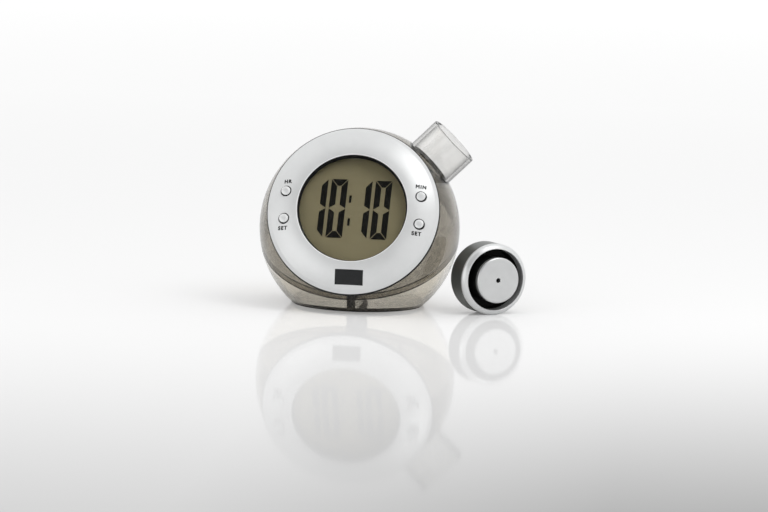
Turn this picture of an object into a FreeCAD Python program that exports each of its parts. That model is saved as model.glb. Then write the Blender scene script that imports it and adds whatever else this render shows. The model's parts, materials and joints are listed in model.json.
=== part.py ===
# Desk clock run by water: a clear globe tank with two electrode cells, a sealed
# display module set into its tilted front, four buttons and a push-on filler cap.
#
# Lengths are in millimetres, angles in degrees. The clock stands on z = 0 with its
# base centred on the origin, its face looks toward -Y and +X is to the right.

import FreeCAD, Part
import math
import os

import Sketcher
from FreeCAD import Placement, Rotation, Vector

# Driving dimensions, one spreadsheet cell each

SIZES = {
    # globe tank
    "globe_radius": 51.4,
    "face_height": 38.6,
    "globe_rise": 0.55,
    "tank_wall": 2.2,
    "base_level": 0.6,
    "floor_thickness": 2.2,
    "face_tilt": 22.0,
    "seam_tilt": 33.5,
    "seam_drop": 5.1, "seam_gap": 0.4,
    "tongue_height": 3.0,
    "tongue_thickness": 1.0,
    "fit_gap": 0.1,
    "pad_radius": 33.4,
    # filler neck
    "neck_angle": 45.0,
    "neck_radius": 13.8,
    "neck_wall": 1.8,
    "neck_reach": 67.0,
    "neck_root": 46.8,
    "neck_flange": 15.4,
    # front opening of the tank
    "opening_radius": 39.2,
    "collar_radius": 42.6,
    "seat_level": 31.0,
    "seat_depth": 2.8,
    "gasket_thickness": 0.5,
    # display module housing
    "cup_radius": 38.9,
    "cup_wall": 1.5,
    "cup_back": 20.0,
    "cup_floor": 1.8,
    "flange_radius": 41.6,
    "flange_thickness": 1.5,
    "screw_circle": 40.2,
    "screw_sink": 0.5,
    # bezel ring
    "bezel_radius": 43.4,
    "bezel_back": 32.0,
    "bevel_level": 32.6,
    "dome_edge": 41.65,
    "rim_level": 34.1,
    "window_level": 38.7,
    "window_radius": 27.8,
    "bezel_wall": 1.4,
    "dome_radius": 39.0,
    "bezel_seal_radius": 43.8,
    "bezel_seal_lip": 32.4,
    "lens_seat": 35.5,
    # buttons
    "button_column": 34.2,
    "upper_button": 7.6,
    "lower_button": -6.8,
    "button_radius": 2.3,
    "button_hole": 2.85,
    "boss_radius": 4.2,
    # display stack
    "lens_radius": 30.2,
    "lens_thickness": 1.2,
    "glass_width": 28.6,
    "glass_height": 30.2,
    "glass_corner": 49.0,
    "glass_thickness": 1.0,
    "cell_gap": 0.2,
    "glass_level": 33.9,
    "ledge": 2.2,
    "board_radius": 37.2,
    "board_level": 30.0,
    "board_thickness": 1.6,
    # digits
    "digit_height": 30.7,
    "digit_width": 8.3,
    "bar_width": 3.0,
    "bar_gap": 0.3,
    "digit_slant": 2.1,
    "digit_pitch": 22.4,
    "hour_digit": -8.2,
    "digit_rise": 0.65,
    # electrodes
    "electrode_width": 16.0,
    "electrode_length": 36.0,
    "electrode_drop": -6.0,
    "zinc_thickness": 1.6,
    "copper_thickness": 0.8,
    "zinc_place": 9.0,
    "copper_place": 22.0,
    "divider_thickness": 1.6,
    # cap
    "cap_radius": 18.1,
    "cap_length": 13.8,
    "cap_mouth": 15.5,
    "cap_rim_rise": 1.7,
    "cap_back": 1.8,
    "plug_radius": 11.6,
    "plug_length": 18.6,
    "vent_radius": 1.15,
    "cap_ring_x": 71.6,
    "cap_ring_y": -20.5,
    "cap_yaw": 31.5,
}

doc = FreeCAD.newDocument("WaterClock")
sheet = doc.addObject("Spreadsheet::Sheet", "Sizes")
for row, (alias, number) in enumerate(SIZES.items(), start=1):
    sheet.set("A%d" % row, alias.replace("_", " "))
    sheet.set("B%d" % row, str(number))
    sheet.setAlias("B%d" % row, alias)
doc.recompute()


# A length that carries its value and the cell expression behind it

class Dim:
    def __init__(self, value, text):
        self.value = value
        self.text = text

    def __add__(self, other):
        return Dim(self.value + value_of(other), "(%s + %s)" % (self.text, text_of(other)))

    def __sub__(self, other):
        return Dim(self.value - value_of(other), "(%s - %s)" % (self.text, text_of(other)))

    def __mul__(self, other):
        return Dim(self.value * value_of(other), "(%s * %s)" % (self.text, text_of(other)))

    def __truediv__(self, other):
        return Dim(self.value / value_of(other), "(%s / %s)" % (self.text, text_of(other)))

    def __neg__(self):
        return Dim(-self.value, "(0 - %s)" % self.text)

    def __rsub__(self, other):
        return Dim(value_of(other) - self.value, "(%s - %s)" % (text_of(other), self.text))

    __radd__ = __add__
    __rmul__ = __mul__


def value_of(length):
    return length.value if isinstance(length, Dim) else float(length)


def text_of(length):
    return length.text if isinstance(length, Dim) else repr(float(length))


def root(square):
    return Dim(math.sqrt(value_of(square)), "sqrt(%s)" % text_of(square))


def sine(angle):
    return Dim(math.sin(math.radians(value_of(angle))), "sin(%s)" % text_of(angle))


def cosine(angle):
    return Dim(math.cos(math.radians(value_of(angle))), "cos(%s)" % text_of(angle))


class Cells:
    def __getattr__(self, alias):
        return Dim(SIZES[alias], "Sizes." + alias)


d = Cells()


def bind(feature, path, length):
    feature.setExpression(path, text_of(length))


# Sketch and feature helpers

def new_body(label):
    body = doc.addObject("PartDesign::Body", label)
    body.Label = label
    return body


def origin_plane(body, role):
    for feature in body.Origin.OriginFeatures:
        if feature.Role == role:
            return feature
    raise RuntimeError("no plane " + role)


def new_sketch(body, role, name, level=None):
    sketch = body.newObject("Sketcher::SketchObject", name)
    sketch.AttachmentSupport = (origin_plane(body, role), [""])
    sketch.MapMode = "FlatFace"
    if level is not None:
        bind(sketch, "AttachmentOffset.Base.z", level)
    return sketch


def pin_point(sketch, geometry, end, x, y):
    for kind, length, axis in (("DistanceX", x, -2), ("DistanceY", y, -1)):
        if not isinstance(length, Dim) and length == 0:
            sketch.addConstraint(Sketcher.Constraint("PointOnObject", geometry, end, axis))
            continue
        constraint = Sketcher.Constraint(kind, -1, 1, geometry, end, value_of(length))
        index = sketch.addConstraint(constraint)
        if isinstance(length, Dim):
            name = "p%d_%d%s" % (geometry, end, kind[-1])
            sketch.renameConstraint(index, name)
            bind(sketch, "Constraints." + name, length)


def arc_through(start, finish, radius, side):
    # centre lies to the left of the chord for side +1, to the right for -1
    ax, ay = start
    bx, by = finish
    half = math.hypot(bx - ax, by - ay) / 2
    rise = math.sqrt(max(radius ** 2 - half ** 2, 0.0))
    cx = (ax + bx) / 2 - side * rise * (by - ay) / (2 * half)
    cy = (ay + by) / 2 + side * rise * (bx - ax) / (2 * half)
    first, last = (start, finish) if side > 0 else (finish, start)
    circle = Part.Circle(Vector(cx, cy, 0), Vector(0, 0, 1), radius)
    return Part.ArcOfCircle(circle, math.atan2(first[1] - cy, first[0] - cx),
                            math.atan2(last[1] - cy, last[0] - cx))


def closed_outline(sketch, points):
    # each point is (x, y), or (x, y, radius, side) when an arc leads to it
    count = len(points)
    flat = [(value_of(point[0]), value_of(point[1])) for point in points]
    ends = []
    for index in range(count):
        target = points[(index + 1) % count]
        start, finish = flat[index], flat[(index + 1) % count]
        if len(target) == 2:
            line = Part.LineSegment(Vector(*start, 0), Vector(*finish, 0))
            geometry = sketch.addGeometry(line, False)
            ends.append((geometry, 1, 2))
            continue
        radius, side = target[2], target[3]
        arc = arc_through(start, finish, value_of(radius), side)
        geometry = sketch.addGeometry(arc, False)
        ends.append((geometry, 1, 2) if side > 0 else (geometry, 2, 1))
        place = sketch.addConstraint(Sketcher.Constraint("Radius", geometry, value_of(radius)))
        if isinstance(radius, Dim):
            sketch.renameConstraint(place, "radius%d" % geometry)
            bind(sketch, "Constraints.radius%d" % geometry, radius)
    for index in range(count):
        here, after = ends[index], ends[(index + 1) % count]
        joint = Sketcher.Constraint("Coincident", here[0], here[2], after[0], after[1])
        sketch.addConstraint(joint)
        pin_point(sketch, here[0], here[1], points[index][0], points[index][1])
    return ends


def round_outline(sketch, x, y, radius):
    circle = Part.Circle(Vector(value_of(x), value_of(y), 0), Vector(0, 0, 1), value_of(radius))
    geometry = sketch.addGeometry(circle, False)
    pin_point(sketch, geometry, 3, x, y)
    place = sketch.addConstraint(Sketcher.Constraint("Radius", geometry, value_of(radius)))
    if isinstance(radius, Dim):
        sketch.renameConstraint(place, "round%d" % geometry)
        bind(sketch, "Constraints.round%d" % geometry, radius)
    return geometry


def slanted_axis(sketch, foot, tip):
    line = Part.LineSegment(Vector(value_of(foot[0]), value_of(foot[1]), 0),
                            Vector(value_of(tip[0]), value_of(tip[1]), 0))
    geometry = sketch.addGeometry(line, True)
    pin_point(sketch, geometry, 1, *foot)
    pin_point(sketch, geometry, 2, *tip)
    return (sketch, ["Axis0"])


def turn(body, sketch, kind="Revolution", axis=None):
    feature = body.newObject("PartDesign::" + kind, kind)
    feature.Profile = sketch
    feature.ReferenceAxis = axis or (sketch, ["V_Axis"])
    feature.Angle = 360.0
    return feature


def pad(body, sketch, length, both=False, reverse=False):
    feature = body.newObject("PartDesign::Pad", "Pad")
    feature.Profile = sketch
    bind(feature, "Length", length)
    feature.Midplane = both
    feature.Reversed = reverse
    return feature


def pocket(body, sketch, length=None, both=False, reverse=False):
    feature = body.newObject("PartDesign::Pocket", "Pocket")
    feature.Profile = sketch
    feature.Midplane = both
    feature.Reversed = reverse
    if length is None:
        feature.Type = "ThroughAll"
    else:
        bind(feature, "Length", length)
    return feature


def turned(label, points, place):
    body = new_body(label)
    sketch = new_sketch(body, "XZ_Plane", label + "_profile")
    closed_outline(sketch, points)
    turn(body, sketch)
    body.Placement = place
    return body


def plate(label, points, low, thickness, place):
    body = new_body(label)
    sketch = new_sketch(body, "XY_Plane", label + "_outline", low)
    closed_outline(sketch, points)
    pad(body, sketch, thickness)
    body.Placement = place
    return body


def drill(body, places, radius, level, depth=None, reverse=False):
    # round holes from a level; they run down unless reversed
    sketch = new_sketch(body, "XY_Plane", "holes", level)
    for x, y in places:
        round_outline(sketch, x, y, radius)
    return pocket(body, sketch, depth, reverse=reverse)


# Frames: the globe's centre, the axes of the face and the neck, which meet a little below it,
# and the cap where it lies

def globe_place():
    return Placement(Vector(0, 0, SIZES["face_height"] + SIZES["globe_rise"]), Rotation())


def face_place():
    return Placement(Vector(0, 0, SIZES["face_height"]),
                     Rotation(Vector(1, 0, 0), 90 - SIZES["face_tilt"]))


def neck_place():
    return Placement(Vector(0, 0, SIZES["face_height"]),
                     Rotation(Vector(0, 1, 0), 90 - SIZES["neck_angle"]))


def cap_place():
    yaw = math.radians(SIZES["cap_yaw"])
    toward = Vector(math.sin(yaw), -math.cos(yaw), 0)
    ring = Vector(SIZES["cap_ring_x"], SIZES["cap_ring_y"], SIZES["cap_radius"])
    return Placement(ring - toward * SIZES["cap_length"], Rotation(Vector(0, 0, 1), toward))


# Globe tank: two welded shells with a tongue in a rebate along the slanted seam

def along_seam(across, up):
    # a point of the Y-Z plane from its place along and above the seam's direction
    nx, nz = -sine(d.seam_tilt), cosine(d.seam_tilt)
    return (nz * across + nx * up, nz * up - nx * across)


def along_face(radius, level):
    # a point of the globe's Y-Z plane from its distance off and along the face axis
    fx, fz = -cosine(d.face_tilt), sine(d.face_tilt)
    return (fx * level + fz * radius, fz * level - fx * radius - d.globe_rise)


def seam_band(body, kind, inner, outer, low, high):
    # a ring of the spherical wall between two planes parallel to the seam
    def reach(radius, level):
        return root(radius * radius - level * level)

    sketch = new_sketch(body, "YZ_Plane", "seam_band")
    axis = slanted_axis(sketch, (0, 0), along_seam(0.0, 10.0))
    closed_outline(sketch, [
        along_seam(reach(inner, low), low) + (inner, -1),
        along_seam(reach(outer, low), low),
        along_seam(reach(outer, high), high) + (outer, +1),
        along_seam(reach(inner, high), high),
    ])
    return turn(body, sketch, kind, axis)


def face_ring(body, kind, profile):
    # a turned band about the tilted face axis
    sketch = new_sketch(body, "YZ_Plane", "face_ring")
    axis = slanted_axis(sketch, (0, -d.globe_rise), along_face(0.0, 10.0))
    closed_outline(sketch, [along_face(radius, level) for radius, level in profile])
    return turn(body, sketch, kind, axis)


def cut_half(body, level, above):
    # takes away everything above or below a plane parallel to the seam
    sketch = new_sketch(body, "YZ_Plane", "seam_cut")
    far = d.globe_radius * (1.5 if above else -1.5)
    reach = d.globe_radius * 1.5
    closed_outline(sketch, [along_seam(-reach, level), along_seam(reach, level),
                            along_seam(reach, level + far), along_seam(-reach, level + far)])
    return pocket(body, sketch, d.globe_radius * 3.0, both=True)


def globe(label):
    body = new_body(label)
    outside = body.newObject("PartDesign::AdditiveSphere", label + "_outside")
    bind(outside, "Radius", d.globe_radius)
    return body


def hollow(body):
    inside = body.newObject("PartDesign::SubtractiveSphere", "inside")
    bind(inside, "Radius", d.globe_radius - d.tank_wall)


def tank_upper_shell():
    body = globe("tank_upper_shell")
    back = d.seat_level - d.seat_depth
    face_ring(body, "Revolution", [(0.0, 20.0), (d.collar_radius, 20.0),
                                   (d.collar_radius, d.seat_level), (0.0, d.seat_level)])
    hollow(body)
    face_ring(body, "Revolution", [(d.opening_radius, back), (d.collar_radius - 0.8, back),
                                   (d.collar_radius - 0.4, d.seat_level),
                                   (d.opening_radius, d.seat_level)])
    face_ring(body, "Groove", [(0.0, d.seat_level), (60.0, d.seat_level), (60.0, 60.0), (0.0, 60.0)])
    face_ring(body, "Groove", [(0.0, 10.0), (d.opening_radius, 10.0),
                               (d.opening_radius, 40.0), (0.0, 40.0)])
    cut_half(body, d.seam_gap - d.seam_drop, above=False)
    seam_band(body, "Groove", d.globe_radius - d.tank_wall - 1.5,
              d.globe_radius - d.tank_wall + d.tongue_thickness + d.fit_gap,
              -d.seam_drop - 1.0, d.tongue_height - d.seam_drop + 0.3)
    body.Placement = globe_place()
    return body


def tank_lower_shell():
    body = globe("tank_lower_shell")
    hollow(body)
    cut_half(body, -d.seam_drop, above=True)
    inner = d.globe_radius - d.tank_wall
    seam_band(body, "Revolution", inner, inner + d.tongue_thickness,
              -d.seam_drop - 0.6, d.tongue_height - d.seam_drop)
    base = d.face_height + d.globe_rise - d.base_level
    cut = new_sketch(body, "XZ_Plane", "flat_base")
    wide = d.globe_radius * 1.2
    closed_outline(cut, [(-wide, -wide), (wide, -wide), (wide, -base), (-wide, -base)])
    pocket(body, cut, d.globe_radius * 3.0, both=True)
    floor = new_sketch(body, "XY_Plane", "floor_plate", -base)
    round_outline(floor, 0, 0, root(d.globe_radius * d.globe_radius - base * base) - 0.3)
    pad(body, floor, d.floor_thickness)
    rails = new_sketch(body, "XY_Plane", "divider_rails", d.floor_thickness - base - 0.2)
    for side in (-1, 1):
        near = (d.divider_thickness / 2 + 0.15) * side
        far = near + 1.2 * side
        closed_outline(rails, [(near, -27.0), (far, -27.0), (far, 27.0), (near, 27.0)])
    pad(body, rails, 3.2)
    body.Placement = globe_place()
    return body


def filler_neck():
    bore = d.neck_radius - d.neck_wall
    low = d.neck_root - 1.4
    return turned("filler_neck", [
        (bore, low), (d.neck_flange, low), (d.neck_flange, low + 1.5),
        (d.neck_radius, low + 1.5), (d.neck_radius, d.neck_reach - 0.7),
        (d.neck_radius - 0.7, d.neck_reach, 0.7, +1), (bore + 0.5, d.neck_reach),
        (bore, d.neck_reach - 0.5),
    ], neck_place())


def drilled_shell(shell):
    # the upper shell with the hole for the filler neck and the pilot holes for the
    # six module screws, which run along the face axis
    neck = doc.addObject("Part::Cylinder", "neck_hole")
    bind(neck, "Radius", d.neck_radius + d.fit_gap)
    neck.Height = 40.0
    neck.Placement = neck_place().multiply(Placement(Vector(0, 0, 30), Rotation()))
    tools = [neck]
    for x, y in screw_places(6, "screw_circle", 30.0):
        pilot = doc.addObject("Part::Cylinder", "pilot_hole")
        pilot.Radius = 0.75
        pilot.Height = 10.0
        foot = Vector(x, y, SIZES["seat_level"] - SIZES["seat_depth"] + 0.4)
        pilot.Placement = face_place().multiply(Placement(foot, Rotation()))
        tools.append(pilot)
    joined = doc.addObject("Part::MultiFuse", "shell_drills")
    joined.Shapes = tools
    cut = doc.addObject("Part::Cut", "tank_upper_shell_drilled")
    cut.Base = shell
    cut.Tool = joined
    return cut


def base_pad():
    return turned("base_pad", [
        (0.0, 0.0), (d.pad_radius - 0.3, 0.0), (d.pad_radius, 0.3),
        (d.pad_radius, d.base_level), (0.0, d.base_level),
    ], Placement())


def copies(label, source, places, place):
    doc.recompute()
    shapes = []
    for x, y in places:
        shape = source.Shape.copy()
        shape.Placement = Placement(Vector(x, y, 0), Rotation()).multiply(shape.Placement)
        shapes.append(shape)
    group = doc.addObject("Part::Feature", label)
    group.Shape = Part.makeCompound(shapes)
    group.Placement = place
    return group


def cell_divider():
    # a plate on the middle plane that parts the tank into two cells
    rise = SIZES["globe_rise"]
    foot = d.face_height + d.globe_rise - d.base_level - d.floor_thickness - 0.1
    slab = doc.addObject("Part::Box", "divider_slab")
    bind(slab, "Length", d.divider_thickness)
    slab.Width = 104.0
    bind(slab, "Height", foot + 14.0)
    slab.Placement = Placement(Vector(-SIZES["divider_thickness"] / 2, -52.0, -value_of(foot)),
                               Rotation())
    ball = doc.addObject("Part::Sphere", "divider_limit")
    bind(ball, "Radius", d.globe_radius - d.tank_wall - 0.15)
    inside = doc.addObject("Part::Common", "divider_blank")
    inside.Base = slab
    inside.Tool = ball
    room = doc.addObject("Part::Cylinder", "divider_room")
    bind(room, "Radius", d.cup_radius + 0.5)
    room.Height = 60.0
    tilt = Rotation(Vector(1, 0, 0), 90 - SIZES["face_tilt"])
    below = Vector(0, 0, -rise)
    room.Placement = Placement(tilt.multVec(Vector(0, 0, SIZES["cup_back"] - 0.4)) + below, tilt)
    seat = doc.addObject("Part::Cylinder", "divider_seat_room")
    bind(seat, "Radius", d.globe_radius)
    seat.Height = 40.0
    seat.Placement = Placement(
        tilt.multVec(Vector(0, 0, SIZES["seat_level"] - SIZES["seat_depth"] - 0.3)) + below, tilt)
    rooms = doc.addObject("Part::Fuse", "divider_rooms")
    rooms.Base = room
    rooms.Tool = seat
    cut = doc.addObject("Part::Cut", "cell_divider")
    cut.Base = inside
    cut.Tool = rooms
    cut.Placement = globe_place()
    return cut


# Display module housing, its seal and screws

def button_places():
    return [(d.button_column * side, rise) for side in (-1, 1)
            for rise in (d.upper_button, d.lower_button)]


def screw_places(count, radius, first):
    return [(SIZES[radius] * math.cos(math.radians(first + 360.0 / count * k)),
             SIZES[radius] * math.sin(math.radians(first + 360.0 / count * k)))
            for k in range(count)]


POST_PLACES = [(x, y) for x in (-9.0, 9.0) for y in (-34.3, 34.3)]


def terminal_places():
    shift = 4.2
    return [(side * (SIZES[place] + shift), SIZES["electrode_drop"])
            for side in (-1, 1) for place in ("zinc_place", "copper_place")]


def module_housing():
    top = d.seat_level + d.gasket_thickness + d.flange_thickness
    inner = d.cup_radius - d.cup_wall
    floor = d.cup_back + d.cup_floor
    body = new_body("module_housing")
    profile = new_sketch(body, "XZ_Plane", "cup_profile")
    closed_outline(profile, [
        (0, d.cup_back), (d.cup_radius - 3.0, d.cup_back),
        (d.cup_radius, d.cup_back + 3.0, 3.0, +1), (d.cup_radius, top - d.flange_thickness),
        (d.flange_radius, top - d.flange_thickness), (d.flange_radius, top), (inner, top),
        (inner, floor + 1.5), (inner - 1.5, floor, 1.5, -1), (0, floor),
    ])
    turn(body, profile)
    posts = new_sketch(body, "XY_Plane", "board_posts", floor - 0.4)
    for x, y in POST_PLACES:
        round_outline(posts, x, y, 2.2)
    pad(body, posts, d.board_level - d.board_thickness - floor + 0.4)
    drill(body, POST_PLACES, 0.75, d.board_level - d.board_thickness, 5.0)
    drill(body, button_places(), 3.9, top, 1.0)
    screws = screw_places(6, "screw_circle", 30.0)
    drill(body, screws, 0.8, top, d.flange_thickness + 1.0)
    drill(body, screws, 1.2, top, d.screw_sink)
    drill(body, terminal_places(), 1.3, floor + 0.1, d.cup_floor + 1.0)
    body.Placement = face_place()
    return body


def module_gasket():
    low = d.seat_level
    high = low + d.gasket_thickness
    body = turned("module_gasket", [
        (d.opening_radius, low), (d.collar_radius - 0.4, low), (d.collar_radius - 0.4, high),
        (d.opening_radius, high),
    ], face_place())
    drill(body, screw_places(6, "screw_circle", 30.0), 0.75, high, d.gasket_thickness)
    return body


def screw(label, head_radius, head_height, shank_radius, shank_length, level):
    # a pan head screw that points down from its seat, with a cross recess
    body = new_body(label)
    profile = new_sketch(body, "XZ_Plane", label + "_profile")
    closed_outline(profile, [
        (0, level - shank_length), (shank_radius * 0.5, level - shank_length),
        (shank_radius, level - shank_length + shank_radius), (shank_radius, level),
        (head_radius, level), (head_radius, level + head_height * 0.5),
        (head_radius * 0.6, level + head_height), (0, level + head_height),
    ])
    turn(body, profile)
    recess = new_sketch(body, "XY_Plane", "recess", level + head_height)
    arm, half = head_radius * 0.5, head_radius * 0.12
    closed_outline(recess, [
        (-arm, -half), (-half, -half), (-half, -arm), (half, -arm), (half, -half), (arm, -half),
        (arm, half), (half, half), (half, arm), (-half, arm), (-half, half), (-arm, half),
    ])
    pocket(body, recess, head_height * 0.4)
    return body


def housing_screws():
    top = d.seat_level + d.gasket_thickness + d.flange_thickness
    source = screw("housing_screw", 1.1, 0.6, 0.7, 3.4, top - d.screw_sink)
    return copies("housing_screws", source, screw_places(6, "screw_circle", 30.0), face_place())


def board_screws():
    source = screw("board_screw", 1.5, 0.9, 0.7, 5.0, d.board_level)
    return copies("board_screws", source, POST_PLACES, face_place())


# Electrodes: two zinc and two copper plates hung from the back of the housing

def electrode(label, side, place, thickness):
    body = new_body(label)
    profile = new_sketch(body, "XZ_Plane", label + "_profile", -d.electrode_drop)
    near = place * side
    far = near + thickness * side
    tab = near + 7.2 * side
    top = d.cup_back
    closed_outline(profile, [
        (near, top), (near, top - d.electrode_length), (far, top - d.electrode_length),
        (far, top - thickness), (tab, top - thickness), (tab, top),
    ])
    pad(body, profile, d.electrode_width, both=True)
    hole_x = near + 4.2 * side
    drill(body, [(hole_x, d.electrode_drop)], 1.25, top + 0.5, thickness + 1.0)
    body.Placement = face_place()
    return body


def electrodes():
    made = []
    for name, side in (("left", -1), ("right", 1)):
        made.append(electrode(name + "_zinc_electrode", side, d.zinc_place, d.zinc_thickness))
        made.append(electrode(name + "_copper_electrode", side, d.copper_place,
                              d.copper_thickness))
    return made


def terminal_shapes(zinc_shape, copper_shape, label):
    # one copy per electrode, zinc ones from the first shape and copper ones from the second
    doc.recompute()
    shapes = []
    for x, y in terminal_places():
        source = zinc_shape if abs(x) < SIZES["copper_place"] else copper_shape
        shape = source.Shape.copy()
        shape.Placement = Placement(Vector(x, y, 0), Rotation()).multiply(shape.Placement)
        shapes.append(shape)
    group = doc.addObject("Part::Feature", label)
    group.Shape = Part.makeCompound(shapes)
    group.Placement = face_place()
    return group


def terminal_screw(label, tab_thickness):
    # head on the tank side under the electrode's tab, shank up through the floor
    seat = d.cup_back - tab_thickness
    tip = d.cup_back + d.cup_floor + 2.0
    body = new_body(label)
    profile = new_sketch(body, "XZ_Plane", label + "_profile")
    closed_outline(profile, [
        (0, seat - 1.6), (1.8, seat - 1.6), (2.4, seat - 1.0), (2.4, seat),
        (1.1, seat), (1.1, tip), (0, tip),
    ])
    turn(body, profile)
    slot = new_sketch(body, "XY_Plane", "slot", seat - 1.6)
    closed_outline(slot, [(-2.6, -0.3), (2.6, -0.3), (2.6, 0.3), (-2.6, 0.3)])
    pocket(body, slot, 0.7, reverse=True)
    return body


def terminal_screws():
    return terminal_shapes(terminal_screw("zinc_terminal_screw", d.zinc_thickness),
                           terminal_screw("copper_terminal_screw", d.copper_thickness),
                           "terminal_screws")


def terminal_nuts():
    floor = d.cup_back + d.cup_floor
    body = new_body("terminal_nut")
    sketch = new_sketch(body, "XY_Plane", "nut_outline", floor)
    hexagon = [(2.3 * math.cos(math.radians(60 * k)), 2.3 * math.sin(math.radians(60 * k)))
               for k in range(6)]
    closed_outline(sketch, hexagon)
    pad(body, sketch, 1.4)
    drill(body, [(0, 0)], 1.15, floor + 2.0, 3.0)
    return terminal_shapes(body, body, "terminal_nuts")


def contact_springs():
    # bent strips from the terminals up to pads on the back of the board
    low = d.cup_back + d.cup_floor + 1.5
    high = d.board_level - d.board_thickness - 0.05
    body = new_body("contact_spring")
    profile = new_sketch(body, "XZ_Plane", "spring_profile")
    closed_outline(profile, [
        (-2.0, low), (4.4, low), (4.4, high - 0.3), (6.6, high - 0.3), (6.6, high),
        (4.1, high), (4.1, low + 0.3), (-2.0, low + 0.3),
    ])
    pad(body, profile, 3.0, both=True)
    drill(body, [(0, 0)], 1.15, low + 1.0, 2.0)
    return terminal_shapes(body, body, "contact_springs")


# Circuit board and what is soldered to it

def circuit_board():
    low = d.board_level - d.board_thickness
    body = turned("circuit_board", [(0, low), (d.board_radius, low),
                                    (d.board_radius, d.board_level), (0, d.board_level)],
                  face_place())
    drill(body, POST_PLACES, 0.8, d.board_level, d.board_thickness + 1.0)
    return body


def controller_chip():
    top = d.board_level - d.board_thickness
    body = turned("controller_chip", [
        (0, top - 1.5), (2.5, top - 1.5), (6.0, top - 0.3, 8.0, +1), (6.0, top), (0, top),
    ], Placement())
    body.Placement = face_place().multiply(Placement(Vector(0, 16, 0), Rotation()))
    return body


def lying_can(label, radius, length, x, y):
    # a round can on its side against the back of the board
    top = SIZES["board_level"] - SIZES["board_thickness"]
    body = turned(label, [(0, 0), (radius - 0.3, 0), (radius, 0.3), (radius, length - 0.3),
                          (radius - 0.3, length), (0, length)], Placement())
    lay = Rotation(Vector(0, 1, 0), 90)
    body.Placement = face_place().multiply(Placement(Vector(x, y, top - radius), lay))
    return body


# Display stack: clear lens, two glasses with the segments between, film and pad

def octagon(half_width, half_height, corner):
    # corner is the sum of x and y along the cut-off corners
    wide = corner - half_height
    tall = corner - half_width
    return [
        (-wide, -half_height), (wide, -half_height), (half_width, -tall), (half_width, tall),
        (wide, half_height), (-wide, half_height), (-half_width, tall), (-half_width, -tall),
    ]


def display_stack():
    glass = d.glass_thickness
    front = d.glass_level
    middle = front - glass
    back = middle - d.cell_gap
    film = back - glass
    short = d.glass_height - d.ledge
    place = face_place()
    full = octagon(d.glass_width, d.glass_height, d.glass_corner)
    small = octagon(d.glass_width, short, d.glass_corner)
    pieces = [
        plate("lcd_front_glass", full, middle, glass, place),
        plate("lcd_rear_glass", small, film, glass, place),
        plate("lcd_reflector", small, film - 0.2, 0.2, place),
        plate("lcd_pad", octagon(d.glass_width - 0.4, short - 0.2, d.glass_corner - 1.0),
              d.board_level, film - 0.2 - d.board_level, place),
    ]
    seal = plate("lcd_edge_seal", small, back, d.cell_gap, place)
    inside = new_sketch(seal, "XY_Plane", "seal_window", middle)
    closed_outline(inside, octagon(d.glass_width - 1.2, short - 1.2, d.glass_corner - 1.7))
    pocket(seal, inside, d.cell_gap * 2.0)
    pieces.append(seal)
    for name, side in (("upper", 1), ("lower", -1)):
        middle_y = (d.glass_height - d.ledge / 2) * side
        pieces.append(plate(name + "_contact_strip", [
            (-17.5, middle_y - 0.7), (17.5, middle_y - 0.7),
            (17.5, middle_y + 0.7), (-17.5, middle_y + 0.7),
        ], d.board_level, middle - d.board_level, place))
    return pieces


def bar(sketch_points, slant, shift_x, shift_y):
    return [Vector(x + slant * y + shift_x, y + shift_y, 0) for x, y in sketch_points]


def digit_bars(names):
    # outlines of the bars of one digit, centred on it, with mitred ends
    half_w = SIZES["digit_width"] / 2
    half_h = SIZES["digit_height"] / 2
    bar_w = SIZES["bar_width"]
    gap = SIZES["bar_gap"] / 2
    tip = bar_w * 0.85
    depth = bar_w * 1.15
    upright = [(half_w, gap), (half_w, half_h - gap * 2),
               (half_w - bar_w, half_h - depth - gap * 2), (half_w - bar_w, gap + tip * 0.75)]
    cross = [(-half_w + gap * 2, half_h), (half_w - gap * 2, half_h),
             (half_w - bar_w - gap * 2, half_h - depth),
             (-half_w + bar_w + gap * 2, half_h - depth)]
    shapes = {
        "upper_right": upright,
        "upper_left": [(-x, y) for x, y in upright],
        "lower_right": [(x, -y) for x, y in upright],
        "lower_left": [(-x, -y) for x, y in upright],
        "top": cross,
        "bottom": [(x, -y) for x, y in cross],
    }
    return [shapes[name] for name in names]


def lcd_segments():
    uprights = ("upper_right", "lower_right")
    nought = ("upper_right", "upper_left", "lower_right", "lower_left", "top", "bottom")
    slant = math.tan(math.radians(SIZES["digit_slant"]))
    rise = SIZES["digit_rise"]
    middle = SIZES["glass_level"] - SIZES["glass_thickness"]
    one_shift = SIZES["digit_width"] + 1.7
    outlines = []
    for centre in (SIZES["hour_digit"], SIZES["hour_digit"] + SIZES["digit_pitch"]):
        for points in digit_bars(nought):
            outlines.append(bar(points, slant, centre, rise))
        for points in digit_bars(uprights):
            outlines.append(bar(points, slant, centre - one_shift, rise))
    dot = [(-0.6, -1.9), (0.6, -1.9), (0.6, 1.9), (-0.6, 1.9)]
    for height in (5.8, -6.2):
        outlines.append(bar(dot, slant, -1.8, height))
    solids = []
    for outline in outlines:
        face = Part.Face(Part.makePolygon(outline + outline[:1]))
        solids.append(face.extrude(Vector(0, 0, SIZES["cell_gap"] * 0.8)))
    group = doc.addObject("Part::Feature", "lcd_segments")
    group.Shape = Part.makeCompound(solids)
    group.Placement = face_place().multiply(
        Placement(Vector(0, 0, middle - SIZES["cell_gap"] * 0.9), Rotation()))
    return group


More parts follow.
